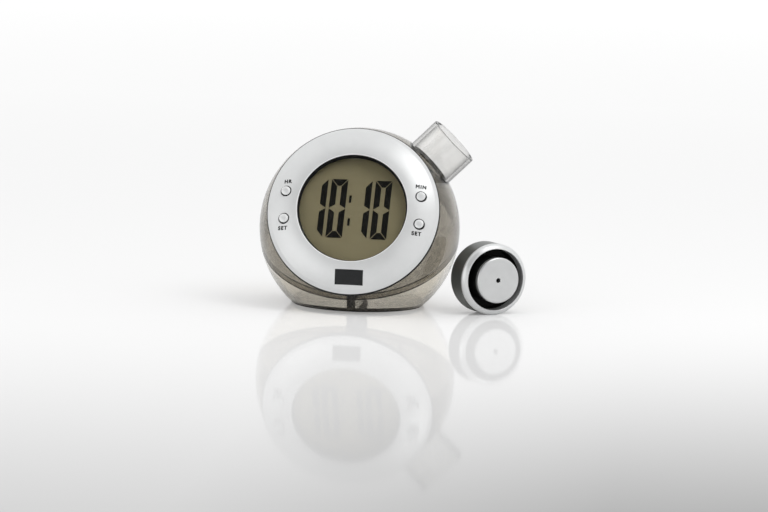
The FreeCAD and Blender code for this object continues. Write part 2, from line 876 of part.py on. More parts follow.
def lcd_holder():
    # a black frame round the glasses, with a round window in its front plate
    front = d.lens_seat - d.lens_thickness
    body = new_body("lcd_holder")
    outline = new_sketch(body, "XY_Plane", "holder_outline", d.board_level)
    closed_outline(outline, octagon(30.2, 32.0, 50.6))
    pad(body, outline, front - d.board_level)
    room = new_sketch(body, "XY_Plane", "glass_room", d.glass_level + 0.05)
    closed_outline(room, octagon(d.glass_width + 0.15, d.glass_height + 0.15, d.glass_corner + 0.2))
    pocket(body, room, d.glass_level - d.board_level + 1.0)
    drill(body, [(0, 0)], d.window_radius - 0.2, front, 2.0)
    body.Placement = face_place()
    return body


def display_lens():
    low = d.lens_seat - d.lens_thickness
    return turned("display_lens", [
        (0, low), (d.lens_radius - 0.2, low), (d.lens_radius, low + 0.2),
        (d.lens_radius, d.lens_seat - 0.2), (d.lens_radius - 0.2, d.lens_seat), (0, d.lens_seat),
    ], face_place())


def window_sleeve():
    # the black wall of the round recess in front of the lens
    return turned("window_sleeve", [
        (d.window_radius - 0.95, d.lens_seat + 0.02), (d.window_radius - 0.03, d.lens_seat + 0.02),
        (d.window_radius - 0.03, d.window_level - 0.6),
        (d.window_radius - 0.28, d.window_level - 0.75),
    ], face_place())


# Bezel ring: a shallow dome with a bevelled window and guides for the buttons

def bezel():
    lip = d.window_radius + 0.5
    cavity = d.dome_radius - d.bezel_wall
    # centre of the dome's arc, from its two ends
    run = d.dome_edge - lip
    drop = d.window_level - d.rim_level
    half = root(run * run + drop * drop) / 2
    rise = root(d.dome_radius * d.dome_radius - half * half)
    cx = (d.dome_edge + lip) / 2 - rise * drop / (half * 2)
    cz = (d.rim_level + d.window_level) / 2 - rise * run / (half * 2)

    def under(radius):
        return cz + root(cavity * cavity - (radius - cx) * (radius - cx))

    body = new_body("bezel")
    profile = new_sketch(body, "XZ_Plane", "dome_profile")
    step = d.lens_radius + 0.4
    wall = d.bezel_radius - d.bezel_wall
    shoulder = d.seat_level + d.gasket_thickness + d.flange_thickness + 0.1
    corner = cx + root(cavity * cavity - (shoulder - cz) * (shoulder - cz))
    closed_outline(profile, [
        (d.bezel_radius, d.bezel_back), (d.bezel_radius, d.bevel_level),
        (d.dome_edge, d.rim_level),
        (lip, d.window_level, d.dome_radius, +1), (d.window_radius, d.window_level - 0.5),
        (d.window_radius, d.lens_seat), (step, d.lens_seat), (step, under(step)),
        (corner, shoulder, cavity, -1), (wall, shoulder), (wall, d.bezel_back),
    ])
    turn(body, profile)
    guides = new_sketch(body, "XY_Plane", "button_guides", d.rim_level + 0.4)
    for x, y in button_places():
        round_outline(guides, x, y, d.boss_radius)
    pad(body, guides, 2.2)
    trim = new_sketch(body, "XZ_Plane", "dome_trim")
    closed_outline(trim, [
        (lip, d.window_level, d.dome_radius, +1), (lip, d.window_level + 3.0),
        (d.dome_edge, d.window_level + 3.0), (d.dome_edge, d.rim_level),
    ])
    turn(body, trim, "Groove")
    drill(body, button_places(), d.button_hole, d.window_level + 1.0, 8.0)
    body.Placement = face_place()
    return body


def bezel_seal():
    # a black rubber ring round the collar, whose lip holds the bezel's back edge
    outer = d.bezel_seal_radius
    inner = d.collar_radius - 0.35
    snug = d.collar_radius + 0.03
    seat = d.bezel_back - 0.02
    return turned("bezel_seal", [
        (inner, d.seat_level + 0.02), (snug, d.seat_level + 0.02), (snug, 30.2),
        (outer - 0.7, 30.2), (outer, 30.9), (outer, d.bezel_seal_lip - 0.2),
        (outer - 0.2, d.bezel_seal_lip), (d.bezel_radius + 0.04, d.bezel_seal_lip),
        (d.bezel_radius + 0.04, seat), (inner, seat),
    ], face_place())


# Buttons and the rubber keypads beneath them

def button(label, x, y):
    crown = d.button_radius - 0.4
    crown_rise = 0.3
    crown_radius = (crown * crown + crown_rise * crown_rise) / (crown_rise * 2)
    body = turned(label, [
        (0, 32.9), (1.2, 32.9), (1.2, 33.4), (3.3, 33.4), (3.3, 34.2),
        (d.button_radius, 34.2), (d.button_radius, 37.7),
        (crown, 38.1, 0.4, +1), (0, 38.1 + crown_rise, crown_radius, +1),
    ], Placement())
    body.Placement = face_place().multiply(Placement(Vector(value_of(x), value_of(y), 0),
                                                     Rotation()))
    return body


def buttons():
    column = d.button_column
    return [
        button("hour_button", -column, d.upper_button),
        button("left_set_button", -column, d.lower_button),
        button("minute_button", column, d.upper_button),
        button("right_set_button", column, d.lower_button),
    ]


def keypad(label, side):
    # a D-shaped rubber mat with one dome under each button of its column
    edge = d.board_radius - 0.2
    chord = 30.7
    tall = 11.6
    reach = root(edge * edge - tall * tall)
    body = new_body(label)
    mat = new_sketch(body, "XY_Plane", "mat_outline", d.board_level)
    points = [(chord * side, -tall * side), (reach * side, -tall * side),
              (reach * side, tall * side, edge, +1), (chord * side, tall * side)]
    closed_outline(mat, points)
    pad(body, mat, 0.8)
    domes = new_sketch(body, "XY_Plane", "domes", d.board_level + 0.7)
    for y in (d.upper_button, d.lower_button):
        round_outline(domes, d.button_column * side, y, 1.75)
    rise = pad(body, domes, 1.3)
    rise.TaperAngle = -20.0
    body.Placement = face_place()
    return body


# Filler cap, lying on its side: shell, rim, liner, plug, disc, seal and vent pin

def cap_pieces():
    place = cap_place()
    rear = d.cap_back
    shell_end = d.cap_length - 1.4
    rim_root = d.cap_length - 4.0
    vent = d.vent_radius
    channel = rear + 1.2
    disc = d.plug_length - 2.5
    pin_back = d.plug_length - 1.9
    return [
        turned("cap_shell", [
            (0, 0), (d.cap_radius - 1.5, 0), (d.cap_radius, 1.5, 1.5, +1),
            (d.cap_radius, shell_end), (16.8, shell_end), (16.8, rear), (0, rear),
        ], place),
        turned("cap_rim", [
            (d.cap_mouth, rim_root), (16.75, rim_root), (16.75, shell_end), (d.cap_radius, shell_end),
            (d.cap_radius, d.cap_length - 0.4),
            (d.cap_mouth + 0.3, d.cap_length + d.cap_rim_rise, 4.2, +1),
            (d.cap_mouth, d.cap_length + d.cap_rim_rise - 0.3, 0.3, +1),
        ], place),
        turned("cap_liner", [
            (vent, rear), (16.7, rear), (16.7, rim_root - 0.1), (d.cap_mouth - 0.1, rim_root - 0.1),
            (d.cap_mouth - 0.1, channel), (vent, channel),
        ], place),
        turned("cap_plug", [
            (vent, channel), (d.plug_radius - 0.4, channel), (d.plug_radius - 0.4, disc),
            (vent, disc),
        ], place),
        turned("plug_disc", [
            (vent, disc), (d.plug_radius, disc), (d.plug_radius, d.plug_length - 0.9),
            (d.plug_radius - 0.9, d.plug_length, 0.9, +1), (vent + 0.2, d.plug_length),
            (vent, d.plug_length - 0.2),
        ], place),
        turned("cap_seal", [
            (d.plug_radius - 0.3, channel), (d.cap_mouth - 0.2, channel),
            (d.cap_mouth - 0.2, channel + 1.2), (d.plug_radius - 0.3, channel + 1.2),
        ], place),
        turned("vent_pin", [
            (0, pin_back), (0.4, pin_back), (0.4, pin_back + 1.3), (0.3, pin_back + 1.4),
            (0, pin_back + 1.4),
        ], place),
    ]


# Build, check and write

def build():
    nodes = {}

    def keep(*features):
        for feature in features:
            nodes[feature.Label] = feature

    shell = tank_upper_shell()
    drilled = drilled_shell(shell)
    shell.Label = "tank_upper_shell_blank"
    drilled.Label = "tank_upper_shell"
    keep(drilled, tank_lower_shell(), filler_neck(), base_pad(), cell_divider())
    keep(module_housing(), module_gasket(), housing_screws())
    keep(*electrodes())
    keep(terminal_screws(), terminal_nuts(), contact_springs())
    keep(circuit_board(), board_screws(), controller_chip(),
         lying_can("quartz_crystal", 1.0, 6.0, 10.0, 14.0),
         lying_can("storage_capacitor", 2.4, 11.0, -22.0, 14.0))
    keep(*display_stack())
    keep(lcd_segments(), lcd_holder(), display_lens(), window_sleeve())
    keep(bezel(), bezel_seal())
    keep(*buttons())
    keep(keypad("left_keypad", -1), keypad("right_keypad", 1))
    keep(*cap_pieces())
    return nodes


def check(nodes):
    for feature in doc.Objects:
        if "Invalid" in feature.State or "Error" in feature.State:
            raise RuntimeError("failed feature: %s %s" % (feature.Label, feature.State))
    for name, feature in nodes.items():
        if feature.Shape.isNull() or not feature.Shape.isValid() or not feature.Shape.Solids:
            raise RuntimeError("bad shape: " + name)


def write(nodes):
    os.makedirs("parts", exist_ok=True)
    for name, feature in nodes.items():
        feature.Shape.exportStep("parts/%s.step" % name)
        print("%-24s %2d solids  %8.3f cm3" % (name, len(feature.Shape.Solids),
                                               feature.Shape.Volume / 1000))


parts = build()
doc.recompute()
check(parts)
write(parts)
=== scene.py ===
import json
import math

import bmesh
import bpy
from bpy.props import FloatProperty, FloatVectorProperty, PointerProperty
from mathutils import Matrix, Vector
from mathutils.bvhtree import BVHTree


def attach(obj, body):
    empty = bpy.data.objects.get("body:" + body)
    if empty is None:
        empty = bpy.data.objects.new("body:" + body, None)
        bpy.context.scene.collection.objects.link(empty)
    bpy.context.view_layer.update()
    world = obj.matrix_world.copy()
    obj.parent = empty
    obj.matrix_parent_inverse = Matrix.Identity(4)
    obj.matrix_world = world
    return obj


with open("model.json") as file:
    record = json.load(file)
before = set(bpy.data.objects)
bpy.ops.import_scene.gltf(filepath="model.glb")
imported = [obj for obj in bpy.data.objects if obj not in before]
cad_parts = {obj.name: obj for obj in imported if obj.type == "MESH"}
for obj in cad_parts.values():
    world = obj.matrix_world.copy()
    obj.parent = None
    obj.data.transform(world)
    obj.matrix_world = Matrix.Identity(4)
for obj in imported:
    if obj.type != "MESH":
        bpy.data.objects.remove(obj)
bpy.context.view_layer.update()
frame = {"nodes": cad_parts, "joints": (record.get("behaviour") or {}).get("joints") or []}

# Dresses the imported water-powered clock: finishes for every part, the prints on the bezel, and a studio.
# Every length is in metres unless its name says otherwise.

bl_info = {
    "name": "Water-powered clock",
    "version": (1, 0, 0),
    "blender": (4, 5, 0),
    "location": "3D View > Sidebar > Clock",
    "description": "Finishes, prints and studio for a water-powered desk clock",
    "category": "Object",
}

MM = 0.001
NODES = frame["nodes"]

# Silver paint: how far a face has to look forward to stay silver rather than get painted shade, and the 45
# degree lip that gets a painted highlight
SHADE_BELOW_LEAN = 0.3
HIGHLIGHT_LIP_LEAN = 0.707
HIGHLIGHT_LIP_SPREAD = 0.03

# How far a face has to look upward to be the top of the foot pad, which is coloured pale as painted light
TOP_LEAN = 0.9

# Letters: capital height as a share of the font's size, spacing, and shares of the letter height
CAPITAL_SHARE = 0.7
LETTER_SPACING = 1.25
CLOSE_POINTS = 0.035
BOLDER_BY = 0.075
STRAIGHT_ANGLE = 0.02

# Prints: the least share of a step an edge keeps, drop height, clearance, and the plate's place
SLIVER_SHARE = 0.005
DROP_HEIGHT = 0.06
CLEARANCE = 0.00001
PLATE_PLACE = (0.00085, -0.03565)

# Lamps, and the point they look at
KEY_PLACE = (0.65, -0.42, 1.1)
KEY_SIZE = 0.7
FILL_PLACE = (-0.7, -1.0, 0.12)
FILL_SIZE = 0.9
LAMP_TARGET = (0.02, 0, 0.04)

# Surroundings: plain soft level, and the dark patch's direction, outer and inner edge and level
SOFT_LEVEL = 0.74
DARK_PATCH = (-0.1, -0.791, 0.603)
PATCH_OUTER = 0.8
PATCH_INNER = 0.97
PATCH_LEVEL = 0.02

# Floor: way, start, full depth, fade and end of its grey patch of painted shade, the patch's lean in x, a
# faint glow
FLOOR_WAY = (0.3, -1.0, 0.0)
SHADE_START = 0.05
SHADE_FULL = 0.8
SHADE_DEPTH = 0.6
SHADE_FADE = 0.55
SHADE_END = 1.1
LEAN_REACH = 0.15
LEAN_LEFT = 0.97
LEAN_RIGHT = 1.6
FLOOR_GLOW = 0.12

# Camera
SENSOR_MM = 36
NEAR_CLIP = 0.05
FAR_CLIP = 50


# The face: a frame where its axis meets the neck's, x to the right, y up the face, z out of it

def press_axis():
    for joint in frame["joints"]:
        if joint["name"] == "hour_press":
            return Vector(joint["axis"])
    raise RuntimeError("the packed model has no joint hour_press")


def face_frame(face_height):
    out = -press_axis().normalized()
    right = Vector((1, 0, 0))
    place = Matrix((right, out.cross(right), out)).transposed().to_4x4()
    place.translation = Vector((0, 0, face_height))
    return place


# Sizes and colours

class ClockSizes(bpy.types.PropertyGroup):
    """Sizes of what is printed on the clock"""
    face_height: FloatProperty(
        name="Face height", description="Height above the table where the face's axis meets the neck's",
        default=0.0386, min=0.01, unit="LENGTH")
    letter_height: FloatProperty(
        name="Letter height", description="Height of the capitals beside the buttons",
        default=0.0018, min=0.0005, unit="LENGTH")
    ink_thickness: FloatProperty(
        name="Ink thickness", description="How far a print stands off the bezel",
        default=0.00004, min=0.00001, unit="LENGTH")
    plate_width: FloatProperty(
        name="Plate width", description="Width of the bare dark plate under the window",
        default=0.0141, min=0.002, unit="LENGTH")
    plate_height: FloatProperty(
        name="Plate height", description="Height of the bare dark plate under the window",
        default=0.0073, min=0.002, unit="LENGTH")
    print_step: FloatProperty(
        name="Print step", description="Largest flat piece of a print that follows the dome",
        default=0.0008, min=0.0002, unit="LENGTH")


class ClockColours(bpy.types.PropertyGroup):
    """Main colours of the clock, as a user would pick them"""
    smoke: FloatVectorProperty(
        name="Smoke", description="Tint of the globe's clear plastic",
        default=(0.66, 0.64, 0.6), min=0, max=1, subtype="COLOR_GAMMA")
    # The bowl's tint is far lighter than the smoke above it: painted light that brightens the bowl.
    bowl: FloatVectorProperty(
        name="Bowl", description="Tint of the globe's lower moulding, wetted inside",
        default=(0.985, 0.97, 0.938), min=0, max=1, subtype="COLOR_GAMMA")
    silver: FloatVectorProperty(
        name="Silver", description="Paint of the bezel, the buttons and the cap's rim",
        default=(0.91, 0.915, 0.915), min=0, max=1, subtype="COLOR_GAMMA")
    display: FloatVectorProperty(
        name="Display", description="Ground of the liquid crystal display",
        default=(0.738, 0.687, 0.562), min=0, max=1, subtype="COLOR_GAMMA")
    charcoal: FloatVectorProperty(
        name="Charcoal", description="Paint of the cap's side",
        default=(0.46, 0.47, 0.46), min=0, max=1, subtype="COLOR_GAMMA")


class ClockStudio(bpy.types.PropertyGroup):
    """Camera and lamps"""
    lens_mm: FloatProperty(
        name="Lens", description="Focal length of the camera in millimetres",
        default=140.6, min=20, unit="CAMERA")
    camera_place: FloatVectorProperty(
        name="Camera", description="Where the camera stands",
        default=(0.17861, -1.52093, 0.20681), subtype="XYZ", unit="LENGTH")
    pan: FloatProperty(
        name="Pan", description="Turn of the camera to the left",
        default=math.radians(6.213), subtype="ANGLE")
    tilt: FloatProperty(
        name="Tilt", description="How far the camera looks down",
        default=math.radians(6.776), subtype="ANGLE")
    roll: FloatProperty(
        name="Roll", description="Turn of the camera about its own axis",
        default=math.radians(1.834), subtype="ANGLE")
    key_watts: FloatProperty(
        name="Key lamp", description="Power of the large lamp at the right",
        default=3.2, min=0, unit="POWER")
    fill_watts: FloatProperty(
        name="Fill lamp", description="Power of the large lamp at the left",
        default=1.6, min=0, unit="POWER")
    floor_radius: FloatProperty(
        name="Floor radius", description="Radius of the pale floor",
        default=8.0, min=1, unit="LENGTH")


# Colour and node helpers

def linear(colour):
    """A colour as written in sRGB, "#rrggbb" or three numbers from 0 to 1, as Cycles wants it."""
    if isinstance(colour, str):
        colour = [int(colour[place:place + 2], 16) / 255 for place in (1, 3, 5)]
    return [c / 12.92 if c <= 0.04045 else ((c + 0.055) / 1.055) ** 2.4 for c in colour] + [1.0]


def add_node(tree, kind, inputs=None, **settings):
    """Adds a node with its settings, and gives its inputs their values or links."""
    node = tree.nodes.new(kind)
    for name, value in settings.items():
        setattr(node, name, value)
    for name, value in (inputs or {}).items():
        if isinstance(value, bpy.types.NodeSocket):
            tree.links.new(value, node.inputs[name])
        else:
            node.inputs[name].default_value = value
    return node


def toned(colour, share):
    """A colour made lighter or darker by a share."""
    return [min(1.0, c * share) for c in colour]


def per_metre(size_mm):
    """Scale of a texture whose features are size_mm across."""
    return 1000 / size_mm


def new_finish(name, **values):
    """A new material: its node tree, its shader with the values set, and the object coordinates."""
    material = bpy.data.materials.new(name)
    material.use_nodes = True
    tree = material.node_tree
    tree.nodes.clear()
    shader = add_node(tree, "ShaderNodeBsdfPrincipled", values)
    add_node(tree, "ShaderNodeOutputMaterial", {"Surface": shader.outputs["BSDF"]})
    place = add_node(tree, "ShaderNodeTexCoord").outputs["Object"]
    return material, tree, shader, place


def show(tree, surface):
    """Makes this the surface that the material shows."""
    output = next(node for node in tree.nodes if node.type == "OUTPUT_MATERIAL")
    tree.links.new(surface, output.inputs["Surface"])


def pass_lamps(tree, shader, tint):
    """Lets the lamps shine through a clear finish, tinted by each wall they pass."""
    path = add_node(tree, "ShaderNodeLightPath")
    clear = add_node(tree, "ShaderNodeBsdfTransparent", {"Color": linear(tint)})
    mix = add_node(tree, "ShaderNodeMixShader", {
        0: path.outputs["Is Shadow Ray"], 1: shader.outputs["BSDF"], 2: clear.outputs["BSDF"]})
    show(tree, mix.outputs["Shader"])


def patches(tree, place, size_mm):
    """A pattern that drifts from 0 to 1 over patches of size_mm."""
    noise = add_node(tree, "ShaderNodeTexNoise", {
        "Vector": place, "Scale": per_metre(size_mm), "Detail": 4.0, "Roughness": 0.55})
    tones = add_node(tree, "ShaderNodeMapRange", {
        "Value": noise.outputs["Fac"], "From Min": 0.3, "From Max": 0.7})
    return tones.outputs["Result"]


def vary_colour(tree, shader, place, light, dark, size_mm):
    """Colour that drifts between two tones in patches. Gives the patches for other uses."""
    tone = patches(tree, place, size_mm)
    mix = add_node(tree, "ShaderNodeMix", {
        "Factor": tone, 6: linear(dark), 7: linear(light)}, data_type="RGBA")
    tree.links.new(mix.outputs[2], shader.inputs["Base Color"])
    return tone


def base_colour(shader):
    """What feeds a shader's colour so far."""
    return shader.inputs["Base Color"].links[0].from_socket


def shade_edge_on_walls(tree, shader, edge, start):
    """Where a clear wall is seen edge on its colour goes dark: partly the light's longer way through the
    tint, mostly painted shade for the dark such an edge shows.
    """
    facing = add_node(tree, "ShaderNodeLayerWeight", {"Blend": 0.5})
    share = add_node(tree, "ShaderNodeMapRange", {
        "Value": facing.outputs["Facing"], "From Min": start, "From Max": 0.85},
        interpolation_type="SMOOTHSTEP")
    mix = add_node(tree, "ShaderNodeMix", {
        "Factor": share.outputs["Result"], 6: base_colour(shader), 7: linear(edge)},
        data_type="RGBA")
    tree.links.new(mix.outputs[2], shader.inputs["Base Color"])


def vary_roughness(tree, shader, pattern, at_0, at_1):
    """Roughness that follows a pattern, from at_0 where it is 0 to at_1 where it is 1."""
    level = add_node(tree, "ShaderNodeMapRange", {
        "Value": pattern, "To Min": at_0, "To Max": at_1})
    tree.links.new(level.outputs["Result"], shader.inputs["Roughness"])


def give_relief(tree, shader, height, depth_mm):
    """Gives the surface a fine relief, depth_mm deep."""
    relief = add_node(tree, "ShaderNodeBump", {"Height": height, "Distance": depth_mm * MM})
    tree.links.new(relief.outputs["Normal"], shader.inputs["Normal"])


def moulded_grain(tree, shader, place, size_mm, depth_mm):
    """The fine orange-peel skin of moulded plastic or paint."""
    grain = add_node(tree, "ShaderNodeTexNoise", {
        "Vector": place, "Scale": per_metre(size_mm), "Detail": 2.0})
    give_relief(tree, shader, grain.outputs["Fac"], depth_mm)


def dress(material, *nodes):
    """Gives CAD nodes a finish."""
    for name in nodes:
        slots = NODES[name].data.materials
        slots.clear()
        slots.append(material)


# Finishes

def smoked_shell_finish(name, tint, blotch, shine):
    # Smoke-tinted SAN, injection moulded and polished, mottled and rippled by drops that cling to it.
    material, tree, shader, place = new_finish(name, **{
        "Transmission Weight": 1.0, "IOR": 1.45, "Specular IOR Level": shine})
    vary_colour(tree, shader, place, tint, toned(tint, blotch), size_mm=2.5)
    drops = add_node(tree, "ShaderNodeTexNoise", {
        "Vector": place, "Scale": per_metre(3.0), "Detail": 1.0})
    vary_roughness(tree, shader, drops.outputs["Fac"], at_0=0.02, at_1=0.07)
    give_relief(tree, shader, drops.outputs["Fac"], depth_mm=0.03)
    pass_lamps(tree, shader, [1 - (1 - c) * 0.4 for c in tint])
    return material


def clear_neck_finish():
    # Clear SAN tube, moulded and polished, with a trace of smoke.
    material, tree, shader, place = new_finish("clear_SAN_polished_tube", **{
        "Transmission Weight": 1.0, "IOR": 1.5})
    tone = vary_colour(tree, shader, place, "#fafaf9", "#f1f0ee", size_mm=9.0)
    # The tube's edges are darkened with painted shade.
    shade_edge_on_walls(tree, shader, "#1f1f1d", start=0.25)
    vary_roughness(tree, shader, tone, at_0=0.03, at_1=0.07)
    pass_lamps(tree, shader, "#f4f3f1")
    return material


def lean_forward(tree):
    """How far a face looks out of the clock's front: 1 straight out, 0 sideways."""
    normal = add_node(tree, "ShaderNodeTexCoord").outputs["Normal"]
    return add_node(tree, "ShaderNodeVectorMath", {0: normal, 1: -press_axis()},
                    operation="DOT_PRODUCT").outputs["Value"]


def shade_walls_behind(tree, shader, plastic):
    """Walls along the face's axis and backs are coloured near black: partly bare plastic where paint
    sprayed from the front does not reach, partly painted shade in the gaps round the buttons and on their
    sides.
    """
    painted = add_node(tree, "ShaderNodeMath", {0: lean_forward(tree), 1: SHADE_BELOW_LEAN},
                       operation="GREATER_THAN")
    mix = add_node(tree, "ShaderNodeMix", {
        "Factor": painted.outputs["Value"], 6: linear(plastic), 7: base_colour(shader)},
        data_type="RGBA")
    tree.links.new(mix.outputs[2], shader.inputs["Base Color"])


def paint_lip_highlight(tree, shader, metallic):
    """The 45 degree lip round the window is coloured near white with next to no flake: a painted
    highlight.
    """
    lip = add_node(tree, "ShaderNodeMath", {0: lean_forward(tree), 1: HIGHLIGHT_LIP_LEAN, 2: HIGHLIGHT_LIP_SPREAD},
                   operation="COMPARE").outputs["Value"]
    flake = add_node(tree, "ShaderNodeMapRange", {"Value": lip, "To Min": metallic, "To Max": 0.0})
    tree.links.new(flake.outputs["Result"], shader.inputs["Metallic"])
    mix = add_node(tree, "ShaderNodeMix", {
        "Factor": lip, 6: base_colour(shader), 7: linear("#fefefe")}, data_type="RGBA")
    tree.links.new(mix.outputs[2], shader.inputs["Base Color"])


def silver_paint_finish(name, colour, size_mm, metallic=0.35, smooth=0.33, rough=0.4,
                        painted_light_at_edges=False):
    # Satin silver lacquer on ABS: fine aluminium flake under a clear coat gives a soft sheen.
    material, tree, shader, place = new_finish(name, **{
        "Metallic": metallic, "Coat Weight": 0.2, "Coat Roughness": 0.25})
    tone = vary_colour(tree, shader, place, colour, toned(colour, 0.965), size_mm)
    vary_roughness(tree, shader, tone, smooth, rough)
    moulded_grain(tree, shader, place, size_mm=0.5, depth_mm=0.002)
    # painted_light_at_edges adds painted light: a painted highlight on the window's lip and painted shade
    # on the walls and backs.
    if painted_light_at_edges:
        paint_lip_highlight(tree, shader, metallic)
        shade_walls_behind(tree, shader, "#141413")
    return material


def moulded_plastic_finish(name, light="#1d1e1d", dark="#121312", rough=0.45, shine=0.5):
    # ABS or epoxy, moulded with a fine spark texture that gives it a soft, wide highlight.
    # The texture is drawn coarser than the real one, so that it shows.
    material, tree, shader, place = new_finish(name, **{"Specular IOR Level": shine})
    tone = vary_colour(tree, shader, place, light, dark, size_mm=3.0)
    vary_roughness(tree, shader, tone, rough - 0.06, rough + 0.06)
    moulded_grain(tree, shader, place, size_mm=0.35, depth_mm=0.008)
    return material


def rubber_finish(name, light, dark):
    # Moulded rubber, foam or cured seal: matt, slightly dusty, its skin drawn coarser so that it shows.
    material, tree, shader, place = new_finish(name, **{"Specular IOR Level": 0.35})
    tone = vary_colour(tree, shader, place, light, dark, size_mm=2.0)
    vary_roughness(tree, shader, tone, at_0=0.7, at_1=0.85)
    moulded_grain(tree, shader, place, size_mm=0.6, depth_mm=0.02)
    return material


def foot_pad_finish():
    # Black EVA foam foot, matt; its upper face is coloured pale and glossy: painted light that brightens
    # the bottom of the bowl seen through the tank.
    material, tree, shader, place = new_finish("EVA_foam_with_painted_light_top")
    vary_colour(tree, shader, place, "#272726", "#1a1a1a", size_mm=2.0)
    normal = add_node(tree, "ShaderNodeTexCoord").outputs["Normal"]
    upward = add_node(tree, "ShaderNodeSeparateXYZ", {"Vector": normal}).outputs["Z"]
    painted_light_top = add_node(tree, "ShaderNodeMath", {0: upward, 1: TOP_LEAN}, operation="GREATER_THAN")
    mix = add_node(tree, "ShaderNodeMix", {
        "Factor": painted_light_top.outputs["Value"], 6: base_colour(shader), 7: linear("#f7f3ea")},
        data_type="RGBA")
    tree.links.new(mix.outputs[2], shader.inputs["Base Color"])
    vary_roughness(tree, shader, painted_light_top.outputs["Value"], at_0=0.8, at_1=0.18)
    moulded_grain(tree, shader, place, size_mm=0.6, depth_mm=0.004)
    return material


def charcoal_finish(colour):
    # Charcoal metallic lacquer on the cap's side: satin.
    material, tree, shader, place = new_finish("charcoal_lacquer_on_ABS", **{
        "Metallic": 0.55, "Coat Weight": 0.15, "Coat Roughness": 0.3})
    tone = vary_colour(tree, shader, place, colour, toned(colour, 0.9), size_mm=4.0)
    vary_roughness(tree, shader, tone, at_0=0.38, at_1=0.46)
    moulded_grain(tree, shader, place, size_mm=0.45, depth_mm=0.003)
    return material


def clear_sheet_finish(name, colour, smooth, rough):
    # Cast acrylic or float glass: clear and hard, with a very faint haze of wiping marks.
    material, tree, shader, place = new_finish(name, **{
        "Base Color": linear(colour), "Transmission Weight": 1.0, "IOR": 1.49})
    vary_roughness(tree, shader, patches(tree, place, size_mm=12.0), smooth, rough)
    pass_lamps(tree, shader, "#f6f6f6")
    return material


def display_ground_finish(colour):
    # Polariser film over the reflector: even olive with a faint brushed grain along x, which is drawn
    # coarser than the real one, so that it shows.
    material, tree, shader, place = new_finish("olive_polariser_film", **{"Specular IOR Level": 0.2})
    stretched = add_node(tree, "ShaderNodeMapping", {"Vector": place, "Scale": (0.15, 1.0, 1.0)})
    tone = vary_colour(tree, shader, stretched.outputs["Vector"],
                       colour, toned(colour, 0.95), size_mm=0.6)
    vary_roughness(tree, shader, tone, at_0=0.5, at_1=0.6)
    return material


def segment_finish():
    # Switched-on liquid crystal: near black, a little warm.
    material, tree, shader, place = new_finish("dark_liquid_crystal", **{"Specular IOR Level": 0.2})
    tone = vary_colour(tree, shader, place, "#181512", "#120f0d", size_mm=4.0)
    vary_roughness(tree, shader, tone, at_0=0.5, at_1=0.6)
    return material


def rolled_metal_finish(name, light, dark, smooth=0.3, rough=0.5):
    # Rolled sheet that has stood in water: drawn lines along z and dull, slightly stained patches.
    # The lines are coarser than the real ones, so that they show.
    material, tree, shader, place = new_finish(name, **{"Metallic": 1.0})
    tone = vary_colour(tree, shader, place, light, dark, size_mm=5.0)
    vary_roughness(tree, shader, tone, rough, smooth)
    lines = add_node(tree, "ShaderNodeMapping", {"Vector": place, "Scale": (1.0, 1.0, 0.04)})
    drawn = add_node(tree, "ShaderNodeTexNoise", {
        "Vector": lines.outputs["Vector"], "Scale": per_metre(0.4), "Detail": 3.0})
    give_relief(tree, shader, drawn.outputs["Fac"], depth_mm=0.006)
    return material


def turned_metal_finish(name, light, dark):
    # Turned or stamped metal, plated: bright with fine tool marks.
    material, tree, shader, place = new_finish(name, **{"Metallic": 1.0})
    tone = vary_colour(tree, shader, place, light, dark, size_mm=1.2)
    vary_roughness(tree, shader, tone, at_0=0.22, at_1=0.34)
    moulded_grain(tree, shader, place, size_mm=0.15, depth_mm=0.003)
    return material


def board_finish():
    # Glass-fibre board with green resist: the weave shows faintly through it.
    material, tree, shader, place = new_finish("green_resist_on_glass_fibre", **{
        "Coat Weight": 0.4, "Coat Roughness": 0.12})
    tone = vary_colour(tree, shader, place, "#2c6b43", "#235a38", size_mm=1.5)
    vary_roughness(tree, shader, tone, at_0=0.35, at_1=0.5)
    # A wave repeats after 0.314 of its size, so this gives threads 0.44 mm apart.
    weave = add_node(tree, "ShaderNodeTexWave", {
        "Vector": place, "Scale": per_metre(1.4), "Distortion": 0.4})
    give_relief(tree, shader, weave.outputs["Fac"], depth_mm=0.01)
    return material


def ink_finish(name, light, dark):
    # Pad-printed ink: flat colour with a slightly uneven, satin surface.
    material, tree, shader, place = new_finish(name, **{"Specular IOR Level": 0.2})
    tone = vary_colour(tree, shader, place, light, dark, size_mm=0.8)
    vary_roughness(tree, shader, tone, at_0=0.4, at_1=0.5)
    return material


# Prints on the domed bezel

def bold_word(word, letter_height):
    """Flat bold capitals about their own centre, in the face's plane."""
    curve = bpy.data.curves.new("word", "FONT")
    curve.body = word
    curve.size = letter_height / CAPITAL_SHARE
    curve.space_character = LETTER_SPACING
    curve.align_x = "CENTER"
    curve.align_y = "CENTER"
    curve.resolution_u = 6
    holder = bpy.data.objects.new("word", curve)
    bpy.context.scene.collection.objects.link(holder)
    bpy.context.view_layer.update()
    flat = bpy.data.meshes.new_from_object(holder)
    shape = bmesh.new()
    shape.from_mesh(flat)
    bpy.data.meshes.remove(flat)
    bpy.data.objects.remove(holder)
    bpy.data.curves.remove(curve)
    bmesh.ops.remove_doubles(shape, verts=shape.verts[:], dist=letter_height * CLOSE_POINTS)
    bmesh.ops.dissolve_limit(shape, angle_limit=STRAIGHT_ANGLE, verts=shape.verts[:],
                             edges=shape.edges[:])
    rim = bmesh.ops.inset_region(shape, faces=shape.faces[:], thickness=-letter_height * BOLDER_BY,
                                 use_boundary=True, use_even_offset=True)
    bmesh.ops.delete(shape, geom=rim["faces"], context="FACES")
    return shape


